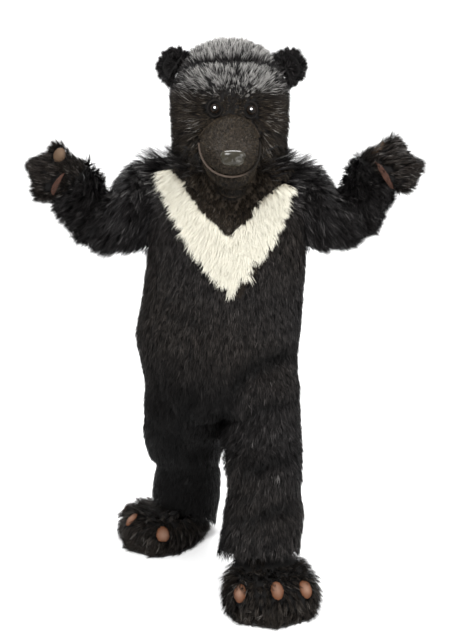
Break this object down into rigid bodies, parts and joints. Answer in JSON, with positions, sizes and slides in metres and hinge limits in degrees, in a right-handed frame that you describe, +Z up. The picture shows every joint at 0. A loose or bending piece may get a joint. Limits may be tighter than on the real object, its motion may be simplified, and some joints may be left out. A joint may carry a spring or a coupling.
{
  "type": "fursuit",
  "caption": "Hollow full-body bear costume with raised arms and one leg forward: long-pile suit with a cream chest V, head, paw gloves and foot paws.",
  "frame": {"origin": "where the wearer's shoulders carry the suit: the middle of the shoulder line, 1.46 m above the floor that the forward foot paw stands on", "axes": "+Z up, the front of the suit faces -Y, +X is the wearer's left"},
  "size_m": [1.2975, 0.8524, 1.906],
  "materials": {
    "black_fur": "long-pile fake fur, black, soft sheen along the nap",
    "brown_fur": "short-pile fake fur, brown black",
    "cream_fur": "long-pile fake fur, cream white, ragged edge",
    "nose_gloss": "black, glossy, with silver reflections",
    "eye_gloss": "dark brown black, very glossy",
    "lip_suede": "thin rolled edge, matte brown",
    "pad_suede": "suede cloth, dusky pink brown, matte",
    "toe_suede": "suede cloth, tan, matte",
    "sole_rubber": "flat, black, matte",
    "zip_tape": "black tape and closed nylon coil"
  },
  "bodies": {
    "root": {"suit_front_left": "black_fur", "suit_front_right": "black_fur", "suit_back_left": "black_fur", "suit_back_right": "black_fur", "leg_front_left": "black_fur", "leg_front_right": "black_fur", "leg_back_left": "black_fur", "leg_back_right": "black_fur", "sleeve_left": "black_fur", "sleeve_right": "black_fur", "head_crown": "black_fur", "head_face": "black_fur", "head_back": "black_fur", "neck_skirt": "brown_fur", "chest_v": "cream_fur", "back_zip": "zip_tape", "muzzle": "brown_fur", "jaw": "brown_fur", "mouth_lip": "lip_suede", "nose": "nose_gloss", "eye_left": "eye_gloss", "eyelid_left": "brown_fur", "ear_left": "black_fur", "glove_palm_left": "black_fur", "glove_back_left": "black_fur", "palm_pad_left": "pad_suede", "finger_pad_left": "toe_suede", "foot_left": "black_fur", "sole_left": "sole_rubber", "toe_oval_left_1": "toe_suede", "toe_oval_left_2": "toe_suede", "toe_oval_left_3": "toe_suede", "eye_right": "eye_gloss", "eyelid_right": "brown_fur", "ear_right": "black_fur", "glove_palm_right": "black_fur", "glove_back_right": "black_fur", "palm_pad_right": "pad_suede", "finger_pad_right": "toe_suede", "foot_right": "black_fur", "sole_right": "sole_rubber", "toe_oval_right_1": "toe_suede", "toe_oval_right_2": "toe_suede", "toe_oval_right_3": "toe_suede"}
  },
  "joints": []
}
